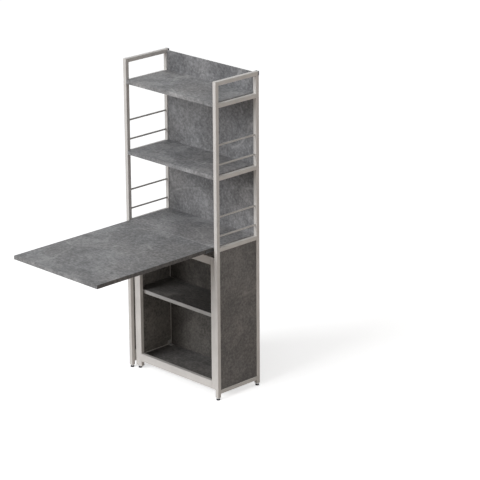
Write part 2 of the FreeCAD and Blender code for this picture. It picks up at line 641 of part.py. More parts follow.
make_posts()
make_rails()
make_rail_plugs()
make_guard_rods()
make_open_shelves()
make_shelf_tabs()
make_cabinet()
make_corner_brackets()
make_leaf()
make_gate()
make_gate_hinge()
make_feet()
check_and_write()
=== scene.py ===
"""Looks of the drop-leaf table with shelf: materials, screws, studio and camera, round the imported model."""

import math

import bmesh
import bpy
from mathutils import Matrix, Vector


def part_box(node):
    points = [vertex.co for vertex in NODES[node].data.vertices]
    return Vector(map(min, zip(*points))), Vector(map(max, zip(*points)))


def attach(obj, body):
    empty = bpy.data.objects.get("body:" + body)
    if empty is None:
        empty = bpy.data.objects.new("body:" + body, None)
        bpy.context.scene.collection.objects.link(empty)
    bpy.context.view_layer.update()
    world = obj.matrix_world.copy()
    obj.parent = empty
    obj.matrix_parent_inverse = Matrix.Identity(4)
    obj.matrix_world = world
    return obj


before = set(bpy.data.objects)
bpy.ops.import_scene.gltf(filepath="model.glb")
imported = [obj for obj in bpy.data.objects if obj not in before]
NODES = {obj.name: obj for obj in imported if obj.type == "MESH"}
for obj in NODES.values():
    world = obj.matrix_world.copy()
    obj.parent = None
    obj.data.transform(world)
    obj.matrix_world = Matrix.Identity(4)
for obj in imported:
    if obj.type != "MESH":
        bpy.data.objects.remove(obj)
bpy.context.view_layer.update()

# Millimetres in the frame's metres
MM = 0.001

# Camera at the photograph's place, measured in the frame
CAMERA_PLACE = Vector((7.527, -6.788, 4.233))
CAMERA_AIM = Vector((0.129, 0.525, 0.657))
CAMERA_ROLL = math.radians(-0.357)
CAMERA_LENS = 179.3
CAMERA_SENSOR = 36.0

# Studio: light levels are what a white surface facing the light returns
AMBIENT = 0.14
KEY_LEVEL = 0.71
KEY_DIRECTION = Vector((-0.20, -0.87, 0.45))
KEY_SPREAD = math.radians(42)
KEY_COLOUR = (0.97, 0.985, 1.0)
TOP_LEVEL = 0.22
TOP_DIRECTION = Vector((0.1, -0.25, 1.0))
TOP_COLOUR = (0.96, 0.98, 1.0)
BACK_LEVEL = 0.12
BACK_DIRECTION = Vector((0.35, 0.92, 0.30))
FILL_LEVEL = 0.10
FILL_DIRECTION = Vector((0.93, -0.36, 0.10))
FILL_COLOUR = (1.0, 0.93, 0.86)
LAMP_DISTANCE = 4.5
LAMP_SIZE = 2.4
AIM_POINT = Vector((0.0, 0.2, 0.7))
FLOOR_SIZE = 80.0
FLOOR_CELLS = 4
FLOOR_COLOUR = (0.9, 0.9, 0.9, 1.0)
FLOOR_BOUNCE_COLOUR = (0.64, 0.58, 0.53, 1.0)
FLOOR_GLOW = 0.62

# Finishes, linear colour
COAT_DARK = (0.600, 0.575, 0.550)
COAT_LIGHT = (0.690, 0.665, 0.640)
# Painted highlight: the coat's paler tone along its edges
COAT_EDGE_HIGHLIGHT = (0.760, 0.735, 0.710)
# Painted shade: a darker coat on the guard rods
ROD_SHADE_TONE = (0.8, 0.8, 0.8)
# Painted shade: a darker coat on the bottom shelf's brackets
BRACKET_SHADE_TONE = (0.78, 0.78, 0.78)
LAMINATE_DARK = (0.129, 0.130, 0.133)
LAMINATE_MID = (0.239, 0.239, 0.243)
LAMINATE_LIGHT = (0.398, 0.398, 0.402)
LAMINATE_VEIN = (0.500, 0.495, 0.485)
# Edging: a pale strip of its own, made paler still as painted light where the leaf shades the shelf edges
BAND_DARK = (0.34, 0.332, 0.325)
BAND_LIGHT = (0.43, 0.42, 0.41)
PLASTIC_DARK = (0.010, 0.010, 0.011, 1.0)
PLASTIC_LIGHT = (0.024, 0.024, 0.025, 1.0)
BLACK_PAINT_WORN = (0.034, 0.033, 0.032, 1.0)
# Painted highlight: the black paint's paler tone along its edges
BLACK_PAINT_EDGE_HIGHLIGHT = (0.16, 0.155, 0.15, 1.0)
ZINC_DARK = (0.42, 0.42, 0.43, 1.0)
ZINC_LIGHT = (0.66, 0.66, 0.66, 1.0)
WARM_TINT = (1.06, 1.0, 0.95, 1.0)

# Relief heights of the finishes, and the painted highlights along their edges
COAT_PEEL = 0.12 * MM
LAMINATE_RELIEF = 0.16 * MM
BAND_GRAIN = 0.06 * MM
PLASTIC_GRAIN = 0.08 * MM
ZINC_LINES = 0.03 * MM
PAINT_LINES = 0.04 * MM
BUMP_STRENGTH = 0.5
LAMINATE_STRENGTH = 0.6
COAT_EDGE_RADIUS = 1.5 * MM
COAT_EDGE_SHARE = 0.5
BOARD_EDGE_RADIUS = 1.2 * MM
BOARD_EDGE_SHARE = 0.2
PAINT_EDGE_RADIUS = 0.6 * MM
PAINT_EDGE_SHARE = 0.25
EDGE_SAMPLES = 6
EDGE_TURN = (0.72, 0.99)

# The décor's brushing and scratches, in features per metre along and across the board
BRUSH_LONG = 3.0
BRUSH_ACROSS = 26.0
SCRATCH_TURN = (0.35, 0.55, 0.62)
SCRATCH_FINENESS = 2.0

# Each board's own cut of the décor: its shift and the axis its brushing follows; then its tone, which is
# painted light on the middle and table shelves, painted shade on the cabinet's shelves, a darker tone on the
# back panels and a darker, warmer one on the side panels
PLAIN_TONE = (1.0, 1.0, 1.0)
# Painted light: the middle and table shelves lighter, for the top light that the shelves above keep off
SHELF_LIGHT_TONE = (1.09, 1.09, 1.10)
# Painted shade: the leaf's left and right edges darker
LEAF_SIDE_SHADE_TONE = (0.42, 0.40, 0.38)
# Painted shade: the bottom shelf's edging darker
LOW_BAND_SHADE_TONE = (0.8, 0.8, 0.8)
BACK_TONE = (0.82, 0.82, 0.83)
# Painted shade: the cabinet's inner and bottom shelves darker
CABINET_SHADE_TONE = (0.70, 0.67, 0.64)
# Painted shade: the inside face of the cabinet's back darker
LOWER_BACK_SHADE_TONE = (0.455, 0.42, 0.38)
PANEL_TONE = (0.59, 0.56, 0.53)
# Painted light: the side panels' inner faces lighter than their outer faces
INNER_PANEL_LIGHT_TONE = (0.90, 0.86, 0.80)
BOARDS = {
    "table_leaf": ((0.0, 0.0, 0.0), "Y", PLAIN_TONE),
    "table_shelf": ((0.9, 0.1, 0.4), "X", SHELF_LIGHT_TONE),
    "middle_shelf": ((1.7, 2.3, 0.2), "X", SHELF_LIGHT_TONE),
    "top_shelf": ((3.1, 0.8, 1.3), "X", PLAIN_TONE),
    "inner_shelf": ((4.4, 1.9, 0.7), "X", CABINET_SHADE_TONE),
    "bottom_shelf": ((5.2, 3.3, 2.1), "X", CABINET_SHADE_TONE),
    "left_side_panel": ((6.3, 0.6, 1.8), "Z", PANEL_TONE),
    "right_side_panel": ((7.1, 2.7, 0.9), "Z", PANEL_TONE),
    "upper_back_panel": ((8.6, 1.4, 3.2), "Z", BACK_TONE),
    "lower_back_panel": ((9.5, 3.6, 2.4), "Z", BACK_TONE),
}
PLASTIC_NODES = (
    "top_rail_end_plugs", "stile_end_plugs", "gate_leg_cap", "post_foot_inserts", "gate_foot_insert",
)
FOOT_NODES = ("left_front_foot", "right_front_foot", "left_back_foot", "right_back_foot", "gate_foot")
ZINC_NODES = ("inner_shelf_pins", "leaf_pivot_studs", "gate_pivot_pins")
BLACK_STEEL_NODES = ("left_pivot_plate", "right_pivot_plate")
ROD_NODES = ("left_guard_rods", "right_guard_rods")
BRACKET_NODES = ("bottom_shelf_brackets",)
FOOT_PAD_HEIGHT = 6 * MM

# Faces with a tone of their own, by the way they face: painted shade on the cabinet back's inside face and on
# the leaf's side edges, painted light on the side panels' inner faces
SAME_WAY = 0.9
FRONT = (Vector((0, -1, 0)),)
RIGHT = (Vector((1, 0, 0)),)
LEFT = (Vector((-1, 0, 0)),)
PAINTED_FACE_TONES = {
    "lower_back_panel": (FRONT, LOWER_BACK_SHADE_TONE),
    "table_leaf": (LEFT + RIGHT, LEAF_SIDE_SHADE_TONE),
    "left_side_panel": (RIGHT, INNER_PANEL_LIGHT_TONE),
    "right_side_panel": (LEFT, INNER_PANEL_LIGHT_TONE),
}
BANDED_SHELVES = {"inner_shelf": PLAIN_TONE, "bottom_shelf": LOW_BAND_SHADE_TONE}

# Screws: pan heads, and thin flat heads on the back and where the leaf passes the posts
PAN_RADIUS = 4.0 * MM
PAN_HEIGHT = 2.2 * MM
FLAT_RADIUS = 3.4 * MM
FLAT_HEIGHT = 0.6 * MM
SCREW_SINK = 0.3 * MM
TAB_WIDTH = 26 * MM
TAB_SCREW_INSET = 17 * MM
BRACKET_WIDTH = 20 * MM
BRACKET_THICKNESS = 2 * MM
BRACKET_SCREW_INSET = 9 * MM
PLATE_SCREW_INSETS = (10 * MM, 38 * MM)
GATE_FLANGE_THICKNESS = 2.5 * MM
GATE_SCREW_INSET = 9 * MM
GATE_SCREW_DROP = 12 * MM
BACK_SCREW_COLUMNS = (-220 * MM, 0.0, 220 * MM)
HEAD_STEPS = 28
PAN_DOME = 0.7
FLAT_DOME = 0.5
DOME_ANGLES = (0.5, 0.85, 1.2)
RIM_RADIUS = 0.97
RIM_HEIGHT = 0.6
RECESS_DEPTH = 0.75
RECESS_WIDTH = 0.26
RECESS_REACH = 0.62
RECESS_TAPER = 0.55

# How far each set's drive recesses are turned: the first one, and the step to the next
TAB_TURNS = (0.4, 0.7)
BACK_TURNS = (0.2, 0.9)
PLATE_TURNS = (0.3, 1.0)
GATE_TURNS = (0.6, 1.0)
BRACKET_FOOT_TURN = 0.5
BRACKET_FACE_TURN = 0.9

# Thin trim along the cabinet's foot between its corner brackets, and the plate that the folded gate stops at
TRIM_WIDTH = 3 * MM
TRIM_HEIGHT = 4 * MM
TRIM_CHAMFER = 1.5 * MM
TRIM_GAP = 0.5 * MM
TRIM_SINK = 0.3 * MM
STOP_MARGIN = 1 * MM
STOP_THICKNESS = 2 * MM
STOP_HEIGHT = 38 * MM
STOP_CORNER = 3 * MM
STOP_SCREW_HEIGHTS = (10 * MM, 28 * MM)
STOP_TURNS = (0.5, 1.0)


# Node material helpers


class Nodes:
    """A new material's node tree, with short calls to add and join its nodes."""

    def __init__(self, name):
        self.material = bpy.data.materials.new(name)
        self.material.use_nodes = True
        self.tree = self.material.node_tree
        self.tree.nodes.clear()
        self.output = self.add("ShaderNodeOutputMaterial")
        self.coords = self.add("ShaderNodeTexCoord").outputs["Object"]

    def add(self, kind, **settings):
        node = self.tree.nodes.new(kind)
        for key, value in settings.items():
            setattr(node, key, value)
        return node

    def join(self, source, target):
        self.tree.links.new(source, target)

    def place(self, shift=(0, 0, 0), turn=(0, 0, 0), scale=(1, 1, 1)):
        node = self.add("ShaderNodeMapping")
        node.inputs["Location"].default_value = shift
        node.inputs["Rotation"].default_value = turn
        node.inputs["Scale"].default_value = scale
        self.join(self.coords, node.inputs["Vector"])
        return node.outputs["Vector"]

    def noise(self, vector, scale, detail=4.0, roughness=0.55, distortion=0.0):
        node = self.add("ShaderNodeTexNoise")
        node.inputs["Scale"].default_value = scale
        node.inputs["Detail"].default_value = detail
        node.inputs["Roughness"].default_value = roughness
        node.inputs["Distortion"].default_value = distortion
        self.join(vector, node.inputs["Vector"])
        return node.outputs["Fac"]

    def ramp(self, value, stops):
        node = self.add("ShaderNodeValToRGB")
        elements = node.color_ramp.elements
        while len(elements) < len(stops):
            elements.new(1.0)
        for element, (place, colour) in zip(elements, stops):
            element.position = place
            element.color = colour
        self.join(value, node.inputs["Fac"])
        return node.outputs["Color"]

    def span(self, value, over, to):
        """The value's part between the two ends of over, carried to the two ends of to."""
        node = self.add("ShaderNodeMapRange", clamp=True)
        node.inputs["From Min"].default_value, node.inputs["From Max"].default_value = over
        node.inputs["To Min"].default_value, node.inputs["To Max"].default_value = to
        self.join(value, node.inputs["Value"])
        return node.outputs["Result"]

    def math(self, operation, first, second):
        node = self.add("ShaderNodeMath", operation=operation)
        for socket, value in zip(node.inputs, (first, second)):
            if isinstance(value, (int, float)):
                socket.default_value = value
            else:
                self.join(value, socket)
        return node.outputs["Value"]

    def total(self, *parts):
        """The sum of (value, share) pairs."""
        shares = [self.math("MULTIPLY", value, share) for value, share in parts]
        whole = shares[0]
        for share in shares[1:]:
            whole = self.math("ADD", whole, share)
        return whole

    def cells(self, vector, scale):
        """The distance to the edges of a pattern of cells."""
        node = self.add("ShaderNodeTexVoronoi", feature="DISTANCE_TO_EDGE")
        node.inputs["Scale"].default_value = scale
        self.join(vector, node.inputs["Vector"])
        return node.outputs["Distance"]

    def wander(self, vector, scale, detail, roughness, reach):
        """The place, pushed about by a noise, so that lines drawn by it wander."""
        drift = self.add("ShaderNodeTexNoise")
        drift.inputs["Scale"].default_value = scale
        drift.inputs["Detail"].default_value = detail
        drift.inputs["Roughness"].default_value = roughness
        self.join(vector, drift.inputs["Vector"])
        gain = self.add("ShaderNodeVectorMath", operation="SCALE")
        gain.inputs["Scale"].default_value = reach
        self.join(drift.outputs["Color"], gain.inputs[0])
        moved = self.add("ShaderNodeVectorMath", operation="ADD")
        self.join(vector, moved.inputs[0])
        self.join(gain.outputs["Vector"], moved.inputs[1])
        return moved.outputs["Vector"]

    def mix(self, factor, first, second, blend="MIX"):
        node = self.add("ShaderNodeMix", data_type="RGBA", blend_type=blend)
        for key, value in (("Factor_Float", factor), ("A_Color", first), ("B_Color", second)):
            socket = next(s for s in node.inputs if s.identifier == key)
            if hasattr(value, "is_linked"):
                self.join(value, socket)
            else:
                socket.default_value = value
        return next(s for s in node.outputs if s.identifier == "Result_Color")

    def edge(self, radius):
        """How far the surface turns within this radius: 0 on a face, more along an edge."""
        bevel = self.add("ShaderNodeBevel", samples=EDGE_SAMPLES)
        bevel.inputs["Radius"].default_value = radius
        geometry = self.add("ShaderNodeNewGeometry")
        dot = self.add("ShaderNodeVectorMath", operation="DOT_PRODUCT")
        self.join(bevel.outputs["Normal"], dot.inputs[0])
        self.join(geometry.outputs["Normal"], dot.inputs[1])
        return self.span(dot.outputs["Value"], over=EDGE_TURN, to=(1.0, 0.0))

    def bump(self, height, distance, strength):
        node = self.add("ShaderNodeBump")
        node.inputs["Strength"].default_value = strength
        node.inputs["Distance"].default_value = distance
        self.join(height, node.inputs["Height"])
        return node.outputs["Normal"]

    def finish(self, colour, roughness, normal, metallic=0.0, specular=0.5):
        shader = self.add("ShaderNodeBsdfPrincipled")
        self.join(colour, shader.inputs["Base Color"])
        self.join(roughness, shader.inputs["Roughness"])
        self.join(normal, shader.inputs["Normal"])
        shader.inputs["Metallic"].default_value = metallic
        shader.inputs["Specular IOR Level"].default_value = specular
        self.join(shader.outputs["BSDF"], self.output.inputs["Surface"])
        return self.material


def toned(colour, tone):
    """A colour times a tone, opaque."""
    return tuple(c * t for c, t in zip(colour, tone)) + (1.0,)


def powder_coat(name, tone=PLAIN_TONE):
    """Satin light warm grey powder coat: fine orange peel, cloudy film thickness, and a painted highlight
    along its edges.
    """
    n = Nodes(name)
    dark, light, edge_highlight = (toned(colour, tone) for colour in (COAT_DARK, COAT_LIGHT, COAT_EDGE_HIGHLIGHT))
    film = n.noise(n.coords, scale=14.0, detail=3.0)
    speck = n.noise(n.coords, scale=900.0, detail=2.0)
    peel = n.noise(n.coords, scale=420.0, detail=2.0)
    colour = n.ramp(film, [(0.3, dark), (0.7, light)])
    colour = n.mix(n.span(speck, over=(0.45, 0.75), to=(0.0, 0.10)), colour, dark)
    # Painted highlight: the coat paler along its edges
    colour = n.mix(n.math("MULTIPLY", n.edge(COAT_EDGE_RADIUS), COAT_EDGE_SHARE), colour, edge_highlight)
    rough = n.span(n.total((film, 0.5), (speck, 0.5)), over=(0.3, 0.7), to=(0.38, 0.56))
    return n.finish(colour, rough, n.bump(peel, COAT_PEEL, BUMP_STRENGTH), specular=0.4)


def laminate(board, shift, along, tone):
    """Matt concrete-look laminate: clouds, stained patches, brushing, scratches, hairline veins and grain."""
    n = Nodes("laminate_" + board)
    stretch = tuple(BRUSH_LONG if axis == along else BRUSH_ACROSS for axis in "XYZ")
    flat = n.place(shift)
    brushed = n.place(shift, scale=stretch)
    scratched = n.place(shift, SCRATCH_TURN, tuple(SCRATCH_FINENESS * s for s in stretch))
    decor = (LAMINATE_DARK, LAMINATE_MID, LAMINATE_LIGHT, LAMINATE_VEIN)
    dark, middle, light, pale = (toned(colour, tone) for colour in decor)

    clouds = n.noise(flat, scale=6.0, detail=7.0, roughness=0.62, distortion=0.9)
    patches = n.noise(flat, scale=2.6, detail=9.0, roughness=0.55, distortion=1.6)
    mottle = n.noise(flat, scale=34.0, detail=6.0, roughness=0.68, distortion=0.4)
    speckle = n.noise(flat, scale=88.0, detail=4.0, roughness=0.7)
    brushing = n.noise(brushed, scale=1.0, detail=6.0, roughness=0.65, distortion=0.3)
    grain = n.noise(flat, scale=420.0, detail=3.0, roughness=0.6)
    warmth = n.noise(flat, scale=3.4, detail=4.0)

    shade = n.total((clouds, 0.20), (mottle, 0.20), (speckle, 0.51), (brushing, 0.09))
    shade = n.math("ADD", shade, n.span(patches, over=(0.44, 0.58), to=(-0.04, 0.04)))
    colour = n.ramp(shade, [(0.38, dark), (0.50, middle), (0.64, light)])
    colour = n.mix(n.span(warmth, over=(0.40, 0.66), to=(0.0, 0.45)), colour, WARM_TINT, "MULTIPLY")

    wandering = n.wander(flat, scale=2.2, detail=5.0, roughness=0.42, reach=0.30)
    vein = n.span(n.cells(wandering, scale=3.6), over=(0.0, 0.016), to=(1.0, 0.0))
    vein = n.math("MULTIPLY", vein, n.span(clouds, over=(0.46, 0.62), to=(0.0, 0.30)))
    colour = n.mix(vein, colour, dark)
    thread = n.span(n.cells(wandering, scale=2.1), over=(0.0, 0.013), to=(1.0, 0.0))
    thread = n.math("MULTIPLY", thread, n.span(patches, over=(0.45, 0.56), to=(0.0, 0.50)))
    colour = n.mix(thread, colour, pale)

    scratch = n.noise(scratched, scale=1.0, detail=3.0, roughness=0.5, distortion=0.15)
    scratch = n.span(scratch, over=(0.66, 0.74), to=(0.0, 1.0))
    scuffed = n.span(n.noise(flat, scale=9.0, detail=2.0), over=(0.52, 0.66), to=(0.0, 0.45))
    colour = n.mix(n.math("MULTIPLY", scratch, scuffed), colour, light)
    # Painted highlight: the board's edges mixed towards the décor's light tone
    colour = n.mix(n.math("MULTIPLY", n.edge(BOARD_EDGE_RADIUS), BOARD_EDGE_SHARE), colour, light)

    rough = n.span(n.total((grain, 0.5), (clouds, 0.5)), over=(0.35, 0.65), to=(0.46, 0.66))
    relief = n.total((grain, 0.5), (brushing, 0.8), (vein, -1.2))
    return n.finish(colour, rough, n.bump(relief, LAMINATE_RELIEF, LAMINATE_STRENGTH), specular=0.22)


def edge_band(shelf, tone):
    """Plain light grey edging: a thin moulded strip with a fine grain and faint saw lines along it, made
    paler still as painted light for the shelf edges that the leaf shades.
    """
    n = Nodes("edge_band_" + shelf)
    dark, light = (toned(colour, tone) for colour in (BAND_DARK, BAND_LIGHT))
    cloud = n.noise(n.coords, scale=22.0, detail=4.0)
    lines = n.noise(n.place(scale=(6.0, 900.0, 900.0)), scale=1.0, detail=3.0)
    grain = n.noise(n.coords, scale=800.0, detail=2.0)
    colour = n.ramp(n.total((cloud, 0.6), (lines, 0.4)), [(0.35, dark), (0.65, light)])
    rough = n.span(grain, over=(0.3, 0.7), to=(0.48, 0.64))
    return n.finish(colour, rough, n.bump(grain, BAND_GRAIN, BUMP_STRENGTH), specular=0.3)


def black_plastic():
    """Black moulded plastic with a fine sparked grain."""
    n = Nodes("black_plastic")
    grain = n.noise(n.coords, scale=1500.0, detail=3.0)
    cloud = n.noise(n.coords, scale=60.0, detail=3.0)
    colour = n.ramp(cloud, [(0.3, PLASTIC_DARK), (0.7, PLASTIC_LIGHT)])
    rough = n.span(grain, over=(0.3, 0.7), to=(0.55, 0.72))
    return n.finish(colour, rough, n.bump(grain, PLASTIC_GRAIN, BUMP_STRENGTH), specular=0.2)


def zinc_steel():
    """Bright zinc plate: fine drawn lines and a patchy, slightly blue passivated film."""
    n = Nodes("zinc_steel")
    drawn = n.noise(n.place(scale=(1.0, 1.0, 14.0)), scale=260.0, detail=3.0)
    film = n.noise(n.coords, scale=90.0, detail=4.0)
    colour = n.ramp(film, [(0.3, ZINC_DARK), (0.7, ZINC_LIGHT)])
    rough = n.span(n.total((drawn, 0.6), (film, 0.4)), over=(0.35, 0.65), to=(0.28, 0.48))
    return n.finish(colour, rough, n.bump(drawn, ZINC_LINES, BUMP_STRENGTH), metallic=1.0)


def black_steel():
    """Black paint on steel: a thin satin film over fine drawn lines."""
    n = Nodes("black_steel")
    drawn = n.noise(n.place(scale=(1.0, 14.0, 1.0)), scale=200.0, detail=3.0)
    film = n.noise(n.coords, scale=120.0, detail=4.0)
    colour = n.ramp(film, [(0.3, PLASTIC_DARK), (0.75, BLACK_PAINT_WORN)])
    # Painted highlight: the plate's edges paler
    colour = n.mix(n.math("MULTIPLY", n.edge(PAINT_EDGE_RADIUS), PAINT_EDGE_SHARE), colour, BLACK_PAINT_EDGE_HIGHLIGHT)
    rough = n.span(film, over=(0.3, 0.7), to=(0.36, 0.54))
    return n.finish(colour, rough, n.bump(drawn, PAINT_LINES, BUMP_STRENGTH))


def dress(node, *materials):
    """Gives a node of the frame these materials, in order."""
    slots = NODES[node].data.materials
    slots.clear()
    for material in materials:
        slots.append(material)


def facing_material(node, facings):
    """Gives the faces that look these ways the node's second material."""
    for polygon in NODES[node].data.polygons:
        polygon.material_index = int(any(polygon.normal.dot(facing) > SAME_WAY for facing in facings))


COAT = powder_coat("powder_coat")
# Painted shade: a darker coat on the guard rods
ROD_SHADE_COAT = powder_coat("powder_coat_rods_painted_shade", ROD_SHADE_TONE)
# Painted shade: a darker coat on the bottom shelf's brackets
BRACKET_SHADE_COAT = powder_coat("powder_coat_brackets_painted_shade", BRACKET_SHADE_TONE)
BLACK_STEEL = black_steel()
PLASTIC = black_plastic()
ZINC = zinc_steel()

for node in NODES:
    if node in BOARDS:
        shift, along, tone = BOARDS[node]
        board = laminate(node, shift, along, tone)
        if node in PAINTED_FACE_TONES:
            # Faces given painted light and shade get a second laminate in that tone
            facings, face_painted_tone = PAINTED_FACE_TONES[node]
            dress(node, board, laminate(node + "_face", shift, along, face_painted_tone))
            facing_material(node, facings)
        elif node in BANDED_SHELVES:
            dress(node, board, edge_band(node, BANDED_SHELVES[node]))
            facing_material(node, FRONT)
        else:
            dress(node, board)
    elif node in FOOT_NODES:
        dress(node, PLASTIC, ZINC)
        for polygon in NODES[node].data.polygons:
            polygon.material_index = 1 if polygon.center.z > FOOT_PAD_HEIGHT else 0
    elif node in PLASTIC_NODES:
        dress(node, PLASTIC)
    elif node in BLACK_STEEL_NODES:
        dress(node, BLACK_STEEL)
    elif node in ZINC_NODES:
        dress(node, ZINC)
    elif node in ROD_NODES:
        dress(node, ROD_SHADE_COAT)
    elif node in BRACKET_NODES:
        dress(node, BRACKET_SHADE_COAT)
    else:
        dress(node, COAT)


# New pieces: screws, trim and plate


def lathe(profile, steps):
    """A closed turned form round Z from (radius, height) points that begin and end on the axis."""
    mesh = bmesh.new()
    rings = []
    for radius, height in profile:
        if radius == 0:
            rings.append([mesh.verts.new((0, 0, height))])
            continue
        turns = [2 * math.pi * i / steps for i in range(steps)]
        rings.append([mesh.verts.new((radius * math.cos(a), radius * math.sin(a), height)) for a in turns])
    for low, high in zip(rings, rings[1:]):
        for i in range(steps):
            j = (i + 1) % steps
            corners = [low[i % len(low)], low[j % len(low)], high[j % len(high)], high[i % len(high)]]
            mesh.faces.new(list(dict.fromkeys(corners)))
    bmesh.ops.recalc_face_normals(mesh, faces=mesh.faces)
    return mesh


def prism(first, last):
    """A closed solid between two outlines with the same number of points."""
    mesh = bmesh.new()
    near = [mesh.verts.new(point) for point in first]
    far = [mesh.verts.new(point) for point in last]
    mesh.faces.new(near)
    mesh.faces.new(far)
    for i in range(len(near)):
        j = (i + 1) % len(near)
        mesh.faces.new((near[i], near[j], far[j], far[i]))
    bmesh.ops.recalc_face_normals(mesh, faces=mesh.faces)
    return mesh


def cross(width, reach, low, high):
    """A cross-shaped prism that tapers towards its bottom, for a screw's drive recess."""
    half = width / 2
    quarter = [(half, half), (half, reach), (-half, reach)]
    outline = []
    for turn in range(4):
        c, s = round(math.cos(turn * math.pi / 2)), round(math.sin(turn * math.pi / 2))
        outline += [(x * c - y * s, x * s + y * c) for x, y in quarter]
    bottom = [(x * RECESS_TAPER, y * RECESS_TAPER, low) for x, y in outline]
    top = [(x, y, high) for x, y in outline]
    return prism(bottom, top)


def as_object(name, mesh):
    """A new object in the scene from this mesh."""
    data = bpy.data.meshes.new(name)
    mesh.to_mesh(data)
    mesh.free()
    obj = bpy.data.objects.new(name, data)
    bpy.context.scene.collection.objects.link(obj)
    return obj


def join_part(piece, body, slot, material):
    """Gives a new piece the body that carries it and its material; the slot argument is not used."""
    piece.data.materials.append(material)
    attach(piece, body)


def screw_head(name, radius, height, dome):
    """One screw head on the plane z = 0, its drive recess cut in."""
    rim = height * (1 - dome)
    profile = [(0, -SCREW_SINK), (radius, -SCREW_SINK)]
    profile += [(radius, rim * RIM_HEIGHT), (radius * RIM_RADIUS, rim)]
    profile += [(radius * math.cos(a), rim + (height - rim) * math.sin(a)) for a in DOME_ANGLES]
    profile.append((0, height))
    head = as_object(name, lathe(profile, HEAD_STEPS))
    floor = height * (1 - RECESS_DEPTH)
    recess = cross(radius * RECESS_WIDTH, radius * RECESS_REACH, floor, height + radius)
    tool = as_object(name + "_tool", recess)
    cutter = head.modifiers.new("recess", "BOOLEAN")
    cutter.operation = "DIFFERENCE"
    cutter.object = tool
    bpy.context.view_layer.update()
    cut = bpy.data.meshes.new_from_object(head.evaluated_get(bpy.context.evaluated_depsgraph_get()))
    bpy.data.objects.remove(head)
    bpy.data.objects.remove(tool)
    return cut


def screws(name, head, body, places, finish=("zinc_steel", ZINC)):
    """A set of screw heads as one piece; places are (point, direction the head faces, turn)."""
    mesh = bmesh.new()
    for point, facing, turn in places:
        one = head.copy()
        spin = Matrix.Rotation(turn, 4, "Z")
        stand = Vector(facing).to_track_quat("Z", "Y").to_matrix().to_4x4()
        one.transform(Matrix.Translation(point) @ stand @ spin)
        mesh.from_mesh(one)
        bpy.data.meshes.remove(one)
    piece = as_object(name, mesh)
    for polygon in piece.data.polygons:
        polygon.use_smooth = False
    join_part(piece, body, *finish)


def facing_spots(spots, facing, turns):
    """Screws at these points that face one way, each turned a step further than the last."""
    first, step = turns
    return [(point, facing, first + step * i) for i, point in enumerate(spots)]


PAN_HEAD = screw_head("pan_head", PAN_RADIUS, PAN_HEIGHT, PAN_DOME)
FLAT_HEAD = screw_head("flat_head", FLAT_RADIUS, FLAT_HEIGHT, FLAT_DOME)
DOWN = (0, 0, -1)
UP = (0, 0, 1)
REARWARD = (0, 1, 0)
LEFTWARD = (-1, 0, 0)
RIGHTWARD = (1, 0, 0)
OPEN_SHELVES = ("top_shelf", "middle_shelf", "table_shelf")

for shelf in OPEN_SHELVES:
    low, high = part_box(shelf + "_tabs")
    rows = (low.y + TAB_WIDTH / 2, high.y - TAB_WIDTH / 2)
    columns = (low.x + TAB_SCREW_INSET, high.x - TAB_SCREW_INSET)
    spots = [Vector((x, y, low.z)) for x in columns for y in rows]
    screws(shelf + "_screws", PAN_HEAD, "shelf_frame", facing_spots(spots, DOWN, TAB_TURNS))

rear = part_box("upper_back_panel")[1].y
back_places = []
for shelf in OPEN_SHELVES:
    low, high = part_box(shelf)
    spots = [Vector((x, rear, (low.z + high.z) / 2)) for x in BACK_SCREW_COLUMNS]
    back_places += facing_spots(spots, REARWARD, BACK_TURNS)
screws("back_panel_screws", FLAT_HEAD, "shelf_frame", back_places)

low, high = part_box("bottom_shelf_brackets")
bracket_places = []
for y in (low.y + BRACKET_WIDTH / 2, high.y - BRACKET_WIDTH / 2):
    for wall, inward in ((low.x, 1), (high.x, -1)):
        near = BRACKET_THICKNESS
        far = BRACKET_THICKNESS + BRACKET_SCREW_INSET
        foot = Vector((wall + inward * far, y, low.z + near))
        face = Vector((wall + inward * near, y, low.z + far))
        bracket_places += [(foot, UP, BRACKET_FOOT_TURN), (face, (inward, 0, 0), BRACKET_FACE_TURN)]
screws("bracket_screws", PAN_HEAD, "shelf_frame", bracket_places)

for side, outward in (("left", -1), ("right", 1)):
    low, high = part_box(side + "_pivot_plate")
    face = high.x if outward > 0 else low.x
    middle = (low.z + high.z) / 2
    spots = [Vector((face, low.y + inset, middle)) for inset in PLATE_SCREW_INSETS]
    places = facing_spots(spots, (outward, 0, 0), PLATE_TURNS)
    screws(side + "_plate_screws", FLAT_HEAD, "leaf", places, ("black_steel", BLACK_STEEL))

low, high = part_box("upper_gate_bracket")
spots = [
    Vector((high.x - GATE_FLANGE_THICKNESS, y, high.z - GATE_SCREW_DROP))
    for y in (low.y + GATE_SCREW_INSET, high.y - GATE_SCREW_INSET)
]
screws("gate_bracket_screws", PAN_HEAD, "shelf_frame", facing_spots(spots, LEFTWARD, GATE_TURNS))

low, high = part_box("bottom_shelf_brackets")
front = low.y + BRACKET_WIDTH + TRIM_GAP
rear = high.y - BRACKET_WIDTH - TRIM_GAP
profile = [
    (0, 0), (TRIM_WIDTH, 0), (TRIM_WIDTH, TRIM_HEIGHT - TRIM_CHAMFER),
    (TRIM_WIDTH - TRIM_CHAMFER, TRIM_HEIGHT), (0, TRIM_HEIGHT),
]
for side, wall, inward in (("left", low.x, 1), ("right", high.x, -1)):
    ends = [
        [(wall + inward * (across - TRIM_SINK), y, low.z + up - TRIM_SINK) for across, up in profile]
        for y in (front, rear)
    ]
    join_part(as_object(side + "_base_trim", prism(*ends)), "shelf_frame", "powder_coat", COAT)

